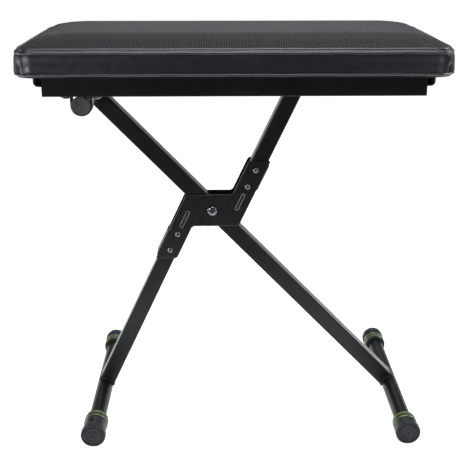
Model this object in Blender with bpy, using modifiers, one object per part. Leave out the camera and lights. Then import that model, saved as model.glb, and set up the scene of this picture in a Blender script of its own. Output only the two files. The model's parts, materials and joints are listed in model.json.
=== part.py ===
"""Keyboard bench: a padded seat on a single folding X frame with four seat heights.

Metres, +Z up. +X runs along the seat to the right, +Y away from the viewer, the floor is
z = 0 and the origin lies under the middle of the bench, which stands at its highest setting.
The long leg runs from the hinge bar under the left end of the seat to the right foot. The
short leg runs from the left foot to the lock bar, which lies under the seat's row of notches.
Its two tubes are offset to either side of the pivot by the pivot plates, so that they nest
beside the long leg when the frame is closed.
"""

import math

import bmesh
import bpy
from mathutils import Matrix, Vector

# Gap between pieces that touch, seat in each other or turn on each other
CLEARANCE = 0.0003

# Legs: rectangular tube, in one plane at y = 0
LEG_WIDTH = 0.0252
LEG_DEPTH = 0.0270
LEG_WALL = 0.0015
LEG_CORNER = 0.0020
LONG_LEAN = math.radians(44.06)
SHORT_LEAN = math.radians(25.35)
LONG_UPPER = 0.2613
LONG_LOWER = 0.4273
SHORT_OFFSET = 0.0335
PIVOT_X = -0.0336
# How far from a cross tube's axis a leg is cut square
END_SEAT = 0.0108

# Foot tubes and their caps
FOOT_RADIUS = 0.0127
FOOT_WALL = 0.0015
FOOT_SPAN = 0.354
CAP_RADIUS = 0.0187
CAP_BODY_RADIUS = 0.0172
CAP_LENGTH = 0.039
CAP_END_WALL = 0.004
CAP_RIM_LENGTH = 0.0105
CAP_EDGE = 0.0012
# Round groove in the cap's end face: its radii at the bottom, and its depth
CAP_GROOVE = (0.0122, 0.0150)
CAP_GROOVE_DEPTH = 0.0008
# Depth of the small flat on which each cap stands
CAP_FLAT = 0.0004
RING_WIDTH = 0.0034
RING_SEAT_DEPTH = 0.0011
# Middle of each ring, measured from the cap's end face
RING_PLACES = (0.0235, 0.0330)
# Extra length of the left front cap, whose rings sit that much farther back
LONG_CAP_EXTRA = 0.0130

# Hinge bar, its end plugs and the straps that hold it to the rails
HINGE_RADIUS = 0.0127
HINGE_WALL = 0.0016
HINGE_INSET = 0.010
PLUG_RADIUS = 0.0139
PLUG_FLANGE = 0.0032
PLUG_SPIGOT = 0.014
# Width of the plug's raised rim, its rise over the plug's face, and its chamfer
PLUG_RIM = 0.0024
PLUG_RISE = 0.0006
PLUG_CHAMFER = 0.0008
STRAP_SHEET = 0.0025
STRAP_WIDTH = 0.016
STRAP_INSET = 0.022
STRAP_BOLT_OFFSET = 0.022
STRAP_MARGIN = 0.0065

# Lock bar and notch plates
LOCK_RADIUS = 0.0060
LOCK_WALL = 0.0012
LOCK_DROP = 0.0195
LOCK_TAIL = 0.0090
NOTCH_COUNT = 4
NOTCH_PITCH = 0.0295
NOTCH_DEPTH = 0.0050
NOTCH_MARGIN = 0.018
NOTCH_SHEET = 0.0030
NOTCH_BEND = 0.0045
NOTCH_FLANGE = 0.020
# Gap over the lock bar that lets it pass the teeth
LOCK_PASS = 0.0005
# Gap between a rail's flange and the lock bar's end, and the notch plate's place from that end
LOCK_GAP = 0.002
NOTCH_INSET = 0.005
# Place of the notch plate's screws across its flange, as a share of the flange's width
NOTCH_SCREW_SHARE = 0.6

# Seat rails and end bars: bent sheet. The rails lie this far inside the board's long edges
RAIL_LENGTH = 0.534
RAIL_HEIGHT = 0.028
RAIL_FLANGE = 0.030
RAIL_SETBACK = 0.007
RAIL_SHEET = 0.0020
RAIL_BEND = 0.0030
END_BAR_WIDTH = 0.025
END_BAR_HEIGHT = 0.0142
END_BAR_OVERHANG = 0.0115
END_BAR_RADIUS = 0.0065
END_BAR_SHEET = 0.0020
END_BAR_INSET = 0.002

# Board and cushion
BOARD_WIDTH = 0.580
BOARD_DEPTH = 0.294
BOARD_THICKNESS = 0.012
BOARD_CORNER = 0.018
SEAT_WIDTH = 0.610
SEAT_DEPTH = 0.320
SEAT_CORNER = 0.028
CUSHION_HEIGHT = 0.0535
CUSHION_SIDE = 0.0410
CUSHION_BELT = 0.0215
CUSHION_SHOULDER = 0.0080
CUSHION_TUCK = 0.0050
# Width of the flat strip along the middle of the crown, and how soon the crown levels out
CROWN_FLAT = 0.040
CROWN_POWER = 4

# Pivot plates, pressed from sheet
PLATE_SHEET = 0.0025
PLATE_BAND = 0.052
PLATE_HEIGHT = 0.160
PLATE_ARM_INNER = 0.0175
PLATE_CORNER = 0.0040
LIP_DEPTH = 0.011
LIP_START = 0.058
LIP_END = 0.106
RIB_WIDTH = 0.0058
RIB_RISE = 0.0012
RIB_START = 0.017
RIB_END = 0.046
# How far a lip or a rib runs into the plate that it is joined to
PLATE_JOIN = 0.0008
PLATE_HAIR = 0.0001
# How far from the pivot the short leg's tubes start and are bolted
TUBE_START = 0.024
PLATE_BOLTS = (0.059, 0.088)

# Fasteners
PIVOT_BOLT_RADIUS = 0.0040
PIVOT_HEAD_RADIUS = 0.0080
PIVOT_HEAD_HEIGHT = 0.0042
BUSH_WALL = 0.0025
PLATE_BOLT_RADIUS = 0.0025
PLATE_HEAD_RADIUS = 0.0044
PLATE_HEAD_HEIGHT = 0.0026
NUT_HEIGHT = 0.0045
# How far a bolt stands out past its nut or through the last sheet
BOLT_TAIL = 0.0015
STRAP_BOLT_TAIL = 0.0035
STRAP_BOLT_RADIUS = 0.0025
STRAP_HEAD_RADIUS = 0.0055
STRAP_HEAD_HEIGHT = 0.0031
SCREW_RADIUS = 0.0020
SCREW_HEAD_RADIUS = 0.0042
SCREW_HEAD_HEIGHT = 0.0022
SCREW_DEPTH = 0.0095
# Place of the outer screws from a rail's end
RAIL_SCREW_INSET = 0.035

# Places that follow from the sizes above
FOOT_Z = CAP_RADIUS - CAP_FLAT
LONG_DIRECTION = Vector((-math.sin(LONG_LEAN), 0, math.cos(LONG_LEAN)))
SHORT_DIRECTION = Vector((math.sin(SHORT_LEAN), 0, math.cos(SHORT_LEAN)))
SHORT_SIDE = Vector((math.cos(SHORT_LEAN), 0, -math.sin(SHORT_LEAN)))
PIVOT = Vector((PIVOT_X, 0, FOOT_Z + LONG_LOWER * math.cos(LONG_LEAN)))
HINGE = PIVOT + LONG_UPPER * LONG_DIRECTION
RIGHT_FOOT = PIVOT - LONG_LOWER * LONG_DIRECTION
RAIL_BOTTOM = HINGE.z + PLUG_RADIUS + CLEARANCE
RAIL_TOP = RAIL_BOTTOM + RAIL_HEIGHT
BOARD_BOTTOM = RAIL_TOP + CLEARANCE
SHORT_LOWER = (PIVOT.z - FOOT_Z - SHORT_OFFSET * SHORT_SIDE.z) / SHORT_DIRECTION.z
SHORT_UPPER = (RAIL_TOP - LOCK_DROP - PIVOT.z - SHORT_OFFSET * SHORT_SIDE.z) / SHORT_DIRECTION.z
LEFT_FOOT = PIVOT - SHORT_OFFSET * SHORT_SIDE - SHORT_LOWER * SHORT_DIRECTION
LOCK = PIVOT + SHORT_OFFSET * SHORT_SIDE + SHORT_UPPER * SHORT_DIRECTION
RAIL_FACE = BOARD_DEPTH / 2 - RAIL_SETBACK
RAIL_SCREW_X = RAIL_LENGTH / 2 - RAIL_SCREW_INSET
HINGE_END = RAIL_FACE - HINGE_INSET
STRAP_Y = RAIL_FACE - STRAP_INSET
LOCK_END = RAIL_FACE - RAIL_FLANGE - LOCK_GAP
NOTCH_Y = LOCK_END - NOTCH_INSET
PLATE_INNER = LEG_DEPTH / 2 + CLEARANCE
PLATE_OUTER = PLATE_INNER + PLATE_SHEET
PLATE_EDGE = SHORT_OFFSET + LEG_WIDTH / 2 + CLEARANCE + PLATE_SHEET
BUSH_RADIUS = PIVOT_BOLT_RADIUS + CLEARANCE + BUSH_WALL

FRONT, REAR = -1, 1


def clear_scene():
    for obj in list(bpy.data.objects):
        bpy.data.objects.remove(obj)


def new_collection(name):
    collection = bpy.data.collections.new(name)
    bpy.context.scene.collection.children.link(collection)
    return collection


clear_scene()
PARTS = new_collection("keyboard_bench")
CUTTERS = new_collection("cutters")


def material(name, colour, roughness, metallic=0.0):
    made = bpy.data.materials.new(name)
    made.use_nodes = True
    shader = made.node_tree.nodes["Principled BSDF"]
    shader.inputs["Base Color"].default_value = (*colour, 1)
    shader.inputs["Roughness"].default_value = roughness
    shader.inputs["Metallic"].default_value = metallic
    made.diffuse_color = (*colour, 1)
    return made


VINYL = material("black vinyl", (0.012, 0.012, 0.014), 0.45)
PLYWOOD = material("plywood", (0.42, 0.29, 0.16), 0.7)
BLACK_PAINT = material("satin black paint", (0.014, 0.014, 0.017), 0.38)
BLACK_PLASTIC = material("black plastic", (0.018, 0.018, 0.02), 0.5)
GREY_PLASTIC = material("grey plastic", (0.09, 0.09, 0.095), 0.5)
GREEN_RUBBER = material("green rubber", (0.10, 0.17, 0.05), 0.6)
BUSH_NYLON = material("white nylon", (0.7, 0.7, 0.67), 0.4)
ZINC = material("black zinc", (0.06, 0.06, 0.065), 0.35, 1.0)


def add_part(obj, finish, parent=None):
    """Puts a finished object, placed in world coordinates, with the parts and on its body."""
    for collection in list(obj.users_collection):
        collection.objects.unlink(obj)
    PARTS.objects.link(obj)
    obj.data.materials.clear()
    obj.data.materials.append(finish)
    if parent:
        obj.parent = parent
        obj.location = obj.location - parent.location
    return obj


def axis_empty(name, place):
    empty = bpy.data.objects.new(name, None)
    empty.location = place
    empty.empty_display_size = 0.03
    PARTS.objects.link(empty)
    return empty


def object_from(name, mesh_builder):
    mesh = bpy.data.meshes.new(name)
    mesh_builder.to_mesh(mesh)
    mesh_builder.free()
    obj = bpy.data.objects.new(name, mesh)
    bpy.context.scene.collection.objects.link(obj)
    return obj


def made_mesh(obj, smooth_angle=35):
    """The object with its modifiers or its curve turned into a welded, smoothly shaded mesh."""
    graph = bpy.context.evaluated_depsgraph_get()
    mesh = bpy.data.meshes.new_from_object(obj.evaluated_get(graph))
    welder = bmesh.new()
    welder.from_mesh(mesh)
    bmesh.ops.remove_doubles(welder, verts=welder.verts, dist=1e-6)
    welder.to_mesh(mesh)
    welder.free()
    mesh.shade_smooth()
    mesh.set_sharp_from_angle(angle=math.radians(smooth_angle))
    name, place = obj.name, obj.matrix_world.copy()
    bpy.data.objects.remove(obj)
    solid = bpy.data.objects.new(name, mesh)
    solid.matrix_world = place
    bpy.context.scene.collection.objects.link(solid)
    return solid


def face_along(obj, place, direction):
    """Puts the object's origin at the place, with its local Z along the direction."""
    obj.location = place
    obj.rotation_euler = Vector(direction).to_track_quat("Z", "Y").to_euler()
    bpy.context.view_layer.update()
    return obj


def turned(name, profile, place, direction, steps, hollow=False):
    """A profile of (radius, height) points, running down its outer side, turned round local Z."""
    outline = bmesh.new()
    points = [outline.verts.new((radius, 0, height)) for radius, height in profile]
    for first, second in zip(points, points[1:]):
        outline.edges.new((first, second))
    if hollow:
        outline.edges.new((points[-1], points[0]))
    obj = object_from(name, outline)
    screw = obj.modifiers.new("turn", "SCREW")
    screw.axis = "Z"
    screw.angle = math.tau
    screw.steps = screw.render_steps = steps
    screw.use_merge_vertices = True
    screw.merge_threshold = 1e-6
    face_along(obj, place, direction)
    return made_mesh(obj)


def box(name, lengths, centre):
    maker = bmesh.new()
    bmesh.ops.create_cube(maker, size=1)
    bmesh.ops.scale(maker, vec=lengths, verts=maker.verts)
    obj = object_from(name, maker)
    obj.location = centre
    return obj


def cylinder_along_y(name, radius, x, z, length, y=0.0, sides=24):
    maker = bmesh.new()
    bmesh.ops.create_cone(
        maker, cap_ends=True, segments=sides, radius1=radius, radius2=radius, depth=length
    )
    obj = object_from(name, maker)
    obj.location = (x, y, z)
    obj.rotation_euler = (math.pi / 2, 0, 0)
    return obj


def as_cutter(obj):
    for collection in list(obj.users_collection):
        collection.objects.unlink(obj)
    CUTTERS.objects.link(obj)
    obj.hide_render = True
    obj.display_type = "WIRE"
    return obj


def boolean(target, other, operation="DIFFERENCE"):
    modifier = target.modifiers.new(other.name, "BOOLEAN")
    modifier.operation = operation
    modifier.solver = "EXACT"
    modifier.object = other


def rounded(points, radii, steps=4):
    """The corners of an outline as arcs. Points are 2D, and a radius of 0 keeps the corner."""
    outline = []
    for index, (corner, radius) in enumerate(zip(points, radii)):
        corner = Vector(corner)
        back = (Vector(points[index - 1]) - corner).normalized()
        ahead = (Vector(points[(index + 1) % len(points)]) - corner).normalized()
        if not radius:
            outline.append(corner)
            continue
        half = math.acos(max(-1, min(1, back.dot(ahead)))) / 2
        centre = corner + (back + ahead).normalized() * radius / math.sin(half)
        start = corner + back * radius / math.tan(half) - centre
        end = corner + ahead * radius / math.tan(half) - centre
        turn = math.atan2(start.cross(end), start.dot(end))
        for step in range(steps + 1):
            outline.append(centre + Matrix.Rotation(turn * step / steps, 2) @ start)
    return outline


def flat_outline(name, outline, thickness, centre_y):
    """A closed outline in the X-Z plane, made solid to the given thickness about a Y place."""
    curve = bpy.data.curves.new(name, "CURVE")
    curve.dimensions = "2D"
    curve.fill_mode = "BOTH"
    curve.extrude = thickness / 2
    spline = curve.splines.new("POLY")
    spline.points.add(len(outline) - 1)
    for point, (x, z) in zip(spline.points, outline):
        point.co = (x, z, 0, 1)
    spline.use_cyclic_u = True
    obj = bpy.data.objects.new(name, curve)
    obj.location = (0, centre_y, 0)
    obj.rotation_euler = (math.pi / 2, 0, 0)
    bpy.context.scene.collection.objects.link(obj)
    bpy.context.view_layer.update()
    return made_mesh(obj)


def bent_sheet(name, path, sheet, width, across, outward):
    """Sheet bent along a path of 2D points, the path being its outer face.

    The points lie in the plane that has the axis "across" as its normal, and the sheet runs
    to half its width on either side of that plane. outward is 1 where the sheet's body lies
    to the left of the path, and -1 where it lies to the right.
    """
    maker = bmesh.new()
    verts = [
        maker.verts.new((-width / 2, a, b) if across == "X" else (a, -width / 2, b))
        for a, b in path
    ]
    edges = [maker.edges.new(pair) for pair in zip(verts, verts[1:])]
    swept = bmesh.ops.extrude_edge_only(maker, edges=edges)["geom"]
    shift = (width, 0, 0) if across == "X" else (0, width, 0)
    bmesh.ops.translate(
        maker, vec=shift, verts=[v for v in swept if isinstance(v, bmesh.types.BMVert)]
    )
    obj = object_from(name, maker)
    solidify = obj.modifiers.new("sheet", "SOLIDIFY")
    solidify.thickness = sheet
    solidify.offset = outward if across == "X" else -outward
    solidify.use_even_offset = True
    return made_mesh(obj)


def leg_tube(name, foot_end, direction, length):
    """Rectangular tube with rounded corners and open ends, its lower end at foot_end."""
    maker = bmesh.new()
    bmesh.ops.create_cube(maker, size=1)
    bmesh.ops.scale(maker, vec=(LEG_WIDTH, LEG_DEPTH, length), verts=maker.verts)
    bmesh.ops.translate(maker, vec=(0, 0, length / 2), verts=maker.verts)
    ends = [face for face in maker.faces if abs(face.normal.z) > 0.5]
    bmesh.ops.delete(maker, geom=ends, context="FACES_ONLY")
    corners = [e for e in maker.edges if abs(e.verts[0].co.z - e.verts[1].co.z) > length / 2]
    bmesh.ops.bevel(
        maker, geom=corners, offset=LEG_CORNER, segments=2, profile=0.5, affect="EDGES"
    )
    obj = object_from(name, maker)
    solidify = obj.modifiers.new("wall", "SOLIDIFY")
    solidify.thickness = LEG_WALL
    solidify.offset = -1
    solidify.use_even_offset = True
    obj.location = foot_end
    obj.rotation_euler = (0, math.atan2(direction.x, direction.z), 0)
    bpy.context.view_layer.update()
    return made_mesh(obj)


def plain_tube(radius, wall, half_length):
    """Profile of a straight round tube with open ends."""
    return [
        (radius, half_length),
        (radius, -half_length),
        (radius - wall, -half_length),
        (radius - wall, half_length),
    ]


def dome(radius, height, shank_radius, shank_length, shank_end=0.0004):
    """Profile of a dome-headed bolt or screw whose head seats at height 0."""
    head = [
        (radius * math.sin(angle), height * (0.35 + 0.65 * math.cos(angle)))
        for angle in (0, math.radians(45), math.radians(90))
    ]
    shank = [
        (radius, 0),
        (shank_radius, 0),
        (shank_radius, shank_end - shank_length),
        (shank_radius - shank_end, -shank_length),
        (0, -shank_length),
    ]
    return head + shank


def hex_nut(name, bore_radius, place, side):
    """A nut that seats at the place and stands out to the front or the rear."""
    across, chamfer = 2 * bore_radius, 0.0004
    profile = [
        (0, NUT_HEIGHT),
        (across - chamfer, NUT_HEIGHT),
        (across, NUT_HEIGHT - chamfer),
        (across, 0),
        (0, 0),
    ]
    nut = turned(name, profile, place, (0, side, 0), 6)
    boolean(nut, bore_cutter(f"{name}_bore", bore_radius, place, sides=12))
    return nut


def saddle(name, tube_radius, place, sides=24):
    """Cutter that gives a leg's square end its seat on a cross tube."""
    return as_cutter(
        cylinder_along_y(name, tube_radius + CLEARANCE, place.x, place.z, 2 * LEG_DEPTH, 0, sides)
    )


def bore_cutter(name, radius, place, length=0.08, sides=16):
    return as_cutter(cylinder_along_y(name, radius, place.x, place.z, length, place.y, sides))


def on_short_leg(side, along):
    """A point of the short leg's plane, from the pivot."""
    return PIVOT + side * SHORT_SIDE + along * SHORT_DIRECTION


def foot(name, place, parent=None):
    """Foot tube with its two caps and their rubber rings."""
    tube_half = FOOT_SPAN / 2 - CAP_END_WALL - CLEARANCE
    profile = plain_tube(FOOT_RADIUS, FOOT_WALL, tube_half)
    tube = turned(f"{name}_foot_tube", profile, place, (0, 1, 0), 24, hollow=True)
    add_part(tube, BLACK_PAINT, parent)
    for side, end in ((FRONT, "front"), (REAR, "rear")):
        face = Vector((place.x, side * FOOT_SPAN / 2, place.z))
        extra = LONG_CAP_EXTRA if (name, side) == ("left", FRONT) else 0
        foot_cap(f"{name}_{end}", face, side, extra, parent)


def foot_cap(name, face, side, extra, parent):
    """Cap whose end face lies at the given place, with two rings let into its body."""
    length = CAP_LENGTH + extra
    ring_places = [middle + extra for middle in RING_PLACES]
    bore = FOOT_RADIUS + CLEARANCE
    groove = CAP_BODY_RADIUS - RING_SEAT_DEPTH
    profile = [
        (0, 0),
        (CAP_GROOVE[0] - CAP_GROOVE_DEPTH / 2, 0),
        (CAP_GROOVE[0], -CAP_GROOVE_DEPTH),
        (CAP_GROOVE[1], -CAP_GROOVE_DEPTH),
        (CAP_GROOVE[1] + CAP_GROOVE_DEPTH / 2, 0),
        (CAP_RADIUS - CAP_EDGE, 0),
        (CAP_RADIUS, -CAP_EDGE),
        (CAP_RADIUS, -CAP_RIM_LENGTH),
        (CAP_BODY_RADIUS, -CAP_RIM_LENGTH - CAP_EDGE),
    ]
    for middle in ring_places:
        near = middle - RING_WIDTH / 2 - CLEARANCE
        far = middle + RING_WIDTH / 2 + CLEARANCE
        profile += [(CAP_BODY_RADIUS, -near), (groove, -near), (groove, -far)]
        profile += [(CAP_BODY_RADIUS, -far)]
    profile += [
        (CAP_BODY_RADIUS, CAP_EDGE - length),
        (CAP_BODY_RADIUS - CAP_EDGE, -length),
        (bore, -length),
        (bore, -CAP_END_WALL),
        (0, -CAP_END_WALL),
    ]
    outward = (0, side, 0)
    cap = turned(f"{name}_foot_cap", profile, face, outward, 24)
    floor_cut = box(f"{name}_floor_cut", (0.1, 0.1, 0.02), (face.x, face.y, -0.01))
    boolean(cap, as_cutter(floor_cut))
    add_part(cap, BLACK_PLASTIC, parent)
    outer = CAP_RADIUS - CAP_FLAT - 0.0001
    inner = groove + CLEARANCE
    for number, middle in enumerate(ring_places, 1):
        ring_profile = [
            (outer, RING_WIDTH / 2),
            (outer, -RING_WIDTH / 2),
            (inner, -RING_WIDTH / 2),
            (inner, RING_WIDTH / 2),
        ]
        place = face - Vector(outward) * middle
        ring = turned(f"{name}_foot_ring_{number}", ring_profile, place, outward, 24, hollow=True)
        add_part(ring, GREEN_RUBBER, parent)


def long_leg():
    """Long leg tube with the hinge bar at its top and the right foot at its bottom."""
    start = RIGHT_FOOT + END_SEAT * LONG_DIRECTION
    length = LONG_UPPER + LONG_LOWER - 2 * END_SEAT
    tube = leg_tube("long_leg_tube", start, LONG_DIRECTION, length)
    boolean(tube, saddle("hinge_bar_saddle", HINGE_RADIUS, HINGE))
    boolean(tube, saddle("right_foot_saddle", FOOT_RADIUS, RIGHT_FOOT))
    boolean(tube, bore_cutter("bush_bore", BUSH_RADIUS + CLEARANCE, PIVOT, sides=20))
    add_part(tube, BLACK_PAINT)
    foot("right", RIGHT_FOOT)

    profile = plain_tube(HINGE_RADIUS, HINGE_WALL, HINGE_END)
    bar = turned("hinge_bar", profile, HINGE, (0, 1, 0), 24, hollow=True)
    add_part(bar, BLACK_PAINT)
    spigot = HINGE_RADIUS - HINGE_WALL - CLEARANCE
    for side, end in ((FRONT, "front"), (REAR, "rear")):
        plug_profile = [
            (0, PLUG_FLANGE - PLUG_RISE),
            (PLUG_RADIUS - PLUG_RIM - PLUG_RISE, PLUG_FLANGE - PLUG_RISE),
            (PLUG_RADIUS - PLUG_RIM, PLUG_FLANGE),
            (PLUG_RADIUS - PLUG_CHAMFER, PLUG_FLANGE),
            (PLUG_RADIUS, PLUG_FLANGE - PLUG_CHAMFER),
            (PLUG_RADIUS, 0),
            (spigot, 0),
            (spigot, PLUG_CHAMFER - PLUG_SPIGOT),
            (spigot - PLUG_CHAMFER, -PLUG_SPIGOT),
            (0, -PLUG_SPIGOT),
        ]
        place = Vector((HINGE.x, side * (HINGE_END + CLEARANCE), HINGE.z))
        plug = turned(f"hinge_bar_plug_{end}", plug_profile, place, (0, side, 0), 24)
        add_part(plug, GREY_PLASTIC)

    bore = PIVOT_BOLT_RADIUS + CLEARANCE
    bush_profile = plain_tube(BUSH_RADIUS, BUSH_RADIUS - bore, LEG_DEPTH / 2)
    bush = turned("pivot_bush", bush_profile, PIVOT, (0, 1, 0), 20, hollow=True)
    add_part(bush, BUSH_NYLON)


def pivot_plate(end, side, parent):
    """Z-shaped plate that carries both tubes of the short leg, the same turned by half a turn."""

    def corner(across, height):
        along = (height - across * SHORT_SIDE.z) / SHORT_DIRECTION.z
        place = on_short_leg(across, along)
        return place.x, place.z

    top, band = PLATE_HEIGHT / 2, PLATE_BAND / 2
    half = [
        (PLATE_EDGE, top, PLATE_CORNER),
        (PLATE_ARM_INNER, top, PLATE_CORNER),
        (PLATE_ARM_INNER, band, PLATE_CORNER),
        (-PLATE_EDGE, band, PLATE_CORNER * 1.5),
    ]
    whole = half + [(-across, -height, radius) for across, height, radius in half]
    points = [corner(across, height) for across, height, _ in whole]
    outline = rounded(points, [radius for _, _, radius in whole])
    plate = flat_outline(
        f"pivot_plate_{end}", outline, PLATE_SHEET, side * (PLATE_INNER + PLATE_SHEET / 2)
    )
    for turn, half_name in ((1, "upper"), (-1, "lower")):
        lip_length = LIP_END - LIP_START
        lip_width = PLATE_SHEET - PLATE_HAIR
        lip_middle = on_short_leg(
            turn * (PLATE_EDGE - PLATE_HAIR - lip_width / 2), turn * (LIP_START + LIP_END) / 2
        )
        lip_near, lip_far = PLATE_OUTER - PLATE_JOIN, PLATE_OUTER - LIP_DEPTH
        lip_middle.y = side * (lip_near + lip_far) / 2
        lip = box(f"{half_name}_{end}_lip", (lip_width, lip_near - lip_far, lip_length), lip_middle)
        lip.rotation_euler = (0, SHORT_LEAN, 0)
        boolean(plate, as_cutter(lip), "UNION")
        rib = pressed_rib(f"{half_name}_{end}_rib", turn, side)
        boolean(plate, as_cutter(rib), "UNION")
        for along in PLATE_BOLTS:
            place = on_short_leg(turn * SHORT_OFFSET, turn * along)
            name = f"{half_name}_{end}_bolt_bore"
            boolean(plate, bore_cutter(name, PLATE_BOLT_RADIUS + CLEARANCE, place, sides=12))
    boolean(plate, bore_cutter(f"{end}_pivot_bore", PIVOT_BOLT_RADIUS + CLEARANCE, PIVOT))
    add_part(plate, BLACK_PAINT, parent)


def pressed_rib(name, turn, side):
    """Oblong rib raised from a plate's outer face, between the pivot and the first bolt."""
    half = RIB_WIDTH / 2
    corners = [(-half, RIB_START), (half, RIB_START), (half, RIB_END), (-half, RIB_END)]
    points = []
    for across, along in corners:
        place = on_short_leg(turn * (SHORT_OFFSET + across), turn * along)
        points.append((place.x, place.z))
    inside = PLATE_SHEET / 2
    middle = PLATE_OUTER + (RIB_RISE - inside) / 2
    return flat_outline(name, rounded(points, [half * 0.98] * 4, 3), RIB_RISE + inside, side * middle)


def short_leg(parent):
    """Short leg: two offset tubes between the pivot plates, the left foot and the lock bar."""
    lower_end = LEFT_FOOT + END_SEAT * SHORT_DIRECTION
    lower_length = SHORT_LOWER - END_SEAT - TUBE_START
    lower = leg_tube("short_leg_lower_tube", lower_end, SHORT_DIRECTION, lower_length)
    boolean(lower, saddle("left_foot_saddle", FOOT_RADIUS, LEFT_FOOT))
    upper_length = SHORT_UPPER + LOCK_TAIL - TUBE_START
    upper_end = on_short_leg(SHORT_OFFSET, TUBE_START)
    upper = leg_tube("short_leg_upper_tube", upper_end, SHORT_DIRECTION, upper_length)
    boolean(upper, bore_cutter("lock_bar_bore", LOCK_RADIUS + CLEARANCE, LOCK, sides=20))

    for turn, tube, half_name in ((1, upper, "upper"), (-1, lower, "lower")):
        for number, along in enumerate(PLATE_BOLTS, 1):
            place = on_short_leg(turn * SHORT_OFFSET, turn * along)
            name = f"{half_name}_{number}"
            cutter = bore_cutter(
                f"{name}_tube_bore", PLATE_BOLT_RADIUS + CLEARANCE, place, sides=12
            )
            boolean(tube, cutter)
            through_bolt(
                f"plate_{name}", place, PLATE_BOLT_RADIUS, PLATE_HEAD_RADIUS, PLATE_HEAD_HEIGHT, parent
            )
    add_part(lower, BLACK_PAINT, parent)
    add_part(upper, BLACK_PAINT, parent)

    pivot_plate("front", FRONT, parent)
    pivot_plate("rear", REAR, parent)
    through_bolt("pivot", PIVOT, PIVOT_BOLT_RADIUS, PIVOT_HEAD_RADIUS, PIVOT_HEAD_HEIGHT, parent)

    profile = plain_tube(LOCK_RADIUS, LOCK_WALL, LOCK_END)
    bar = turned("lock_bar", profile, LOCK, (0, 1, 0), 20, hollow=True)
    add_part(bar, ZINC, parent)
    foot("left", LEFT_FOOT, parent)


def through_bolt(name, place, radius, head_radius, head_height, parent):
    """Bolt through both pivot plates, its dome head in front and its nut behind."""
    seat = PLATE_OUTER + CLEARANCE
    length = 2 * seat + NUT_HEIGHT + BOLT_TAIL
    front = Vector((place.x, -seat, place.z))
    rear = Vector((place.x, seat, place.z))
    profile = dome(head_radius, head_height, radius, length)
    add_part(turned(f"{name}_bolt", profile, front, (0, -1, 0), 12), ZINC, parent)
    add_part(hex_nut(f"{name}_nut", radius + CLEARANCE, rear, REAR), ZINC, parent)


def rail(end, side, parent):
    """Channel rail, open towards the middle of the seat."""
    face = side * RAIL_FACE
    tip = side * (RAIL_FACE - RAIL_FLANGE)
    path = [(tip, RAIL_TOP), (face, RAIL_TOP), (face, RAIL_BOTTOM), (tip, RAIL_BOTTOM)]
    path = rounded(path, [0, RAIL_BEND, RAIL_BEND, 0], 3)
    obj = bent_sheet(f"rail_{end}", path, RAIL_SHEET, RAIL_LENGTH, "X", -side)
    for number, x in enumerate((-RAIL_SCREW_X, RAIL_SCREW_X), 1):
        name = f"rail_{end}_screw_bore_{number}"
        boolean(obj, upright_bore(name, SCREW_RADIUS, x, rail_screw_y(side), RAIL_TOP))
    for number, x in enumerate(strap_bolt_places(), 1):
        name = f"rail_{end}_strap_bore_{number}"
        boolean(obj, upright_bore(name, STRAP_BOLT_RADIUS, x, side * STRAP_Y, RAIL_BOTTOM))
    add_part(obj, BLACK_PAINT, parent)
    for number, x in enumerate((-RAIL_SCREW_X, RAIL_SCREW_X), 1):
        place = Vector((x, rail_screw_y(side), RAIL_TOP - RAIL_SHEET - CLEARANCE))
        wood_screw(f"rail_screw_{end}_{number}", place, RAIL_SHEET + CLEARANCE, parent)


def rail_screw_y(side):
    return side * (RAIL_FACE - RAIL_FLANGE / 2)


def strap_bolt_places():
    return HINGE.x - STRAP_BOLT_OFFSET, HINGE.x + STRAP_BOLT_OFFSET


def upright_bore(name, radius, x, y, z, length=0.012):
    """Upright round cutter for a hole through sheet at the given height."""
    maker = bmesh.new()
    bmesh.ops.create_cone(
        maker,
        cap_ends=True,
        segments=12,
        radius1=radius + CLEARANCE,
        radius2=radius + CLEARANCE,
        depth=length,
    )
    obj = object_from(name, maker)
    obj.location = (x, y, z)
    return as_cutter(obj)


def wood_screw(name, place, through, parent):
    """Screw that runs up into the board, its head seating under the sheet at the place."""
    profile = dome(SCREW_HEAD_RADIUS, SCREW_HEAD_HEIGHT, SCREW_RADIUS, through + SCREW_DEPTH, 0.001)
    add_part(turned(name, profile, place, (0, 0, -1), 10), ZINC, parent)


def hinge_strap(end, side, parent):
    """Strap that carries the hinge bar under a rail, and its two bolts."""
    inner = HINGE_RADIUS + CLEARANCE
    seat = RAIL_BOTTOM - CLEARANCE - HINGE.z
    reach = STRAP_BOLT_OFFSET + STRAP_MARGIN
    arc = [
        (inner * math.cos(angle), inner * math.sin(angle))
        for angle in (math.radians(-degrees) for degrees in range(0, 181, 15))
    ]
    path = [(reach, seat), (inner, seat)] + arc + [(-inner, seat), (-reach, seat)]
    path = [(HINGE.x + x, HINGE.z + z) for x, z in path]
    obj = bent_sheet(f"hinge_strap_{end}", path, STRAP_SHEET, STRAP_WIDTH, "Y", 1)
    obj.location.y = side * STRAP_Y
    for number, x in enumerate(strap_bolt_places(), 1):
        name = f"strap_{end}_bore_{number}"
        boolean(obj, upright_bore(name, STRAP_BOLT_RADIUS, x, side * STRAP_Y, HINGE.z + seat))
    add_part(obj, BLACK_PAINT, parent)
    for number, x in enumerate(strap_bolt_places(), 1):
        place = Vector((x, side * STRAP_Y, HINGE.z + seat - STRAP_SHEET - CLEARANCE))
        length = STRAP_SHEET + RAIL_SHEET + 2 * CLEARANCE + STRAP_BOLT_TAIL
        profile = dome(STRAP_HEAD_RADIUS, STRAP_HEAD_HEIGHT, STRAP_BOLT_RADIUS, length)
        bolt = turned(f"strap_bolt_{end}_{number}", profile, place, (0, 0, -1), 12)
        add_part(bolt, ZINC, parent)


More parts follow.
